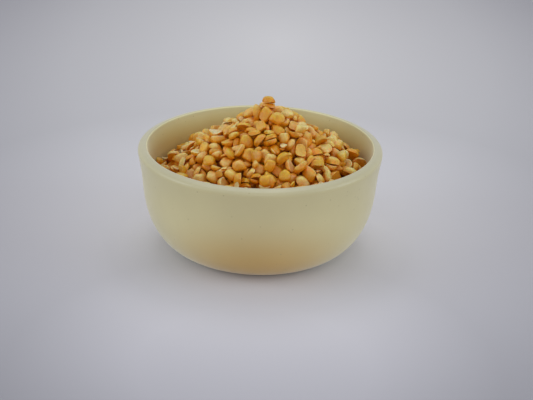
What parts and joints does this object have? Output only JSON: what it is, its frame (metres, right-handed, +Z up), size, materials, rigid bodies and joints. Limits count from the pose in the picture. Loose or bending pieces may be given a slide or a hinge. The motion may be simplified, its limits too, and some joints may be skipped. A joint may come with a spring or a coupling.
{
  "type": "dish of yellow split peas",
  "caption": "Small round cream stoneware bowl with a rounded lip and a full belly, filled with a loose cone-shaped heap of dried yellow split peas.",
  "frame": {"origin": "centre of the bowl's flat base, on the surface that it stands on", "axes": "+Z up along the bowl's axis, -Y towards the viewer of the picture, +X to the viewer's right"},
  "size_m": [0.12, 0.12, 0.0764],
  "materials": {
    "glaze": "satin cream glaze with fine sparse specks",
    "dried_peas": "matt dried pulses, amber on the round side and paler on the cut face"
  },
  "bodies": {
    "root": {"bowl": "glaze", "split_peas": "dried_peas"}
  },
  "joints": []
}
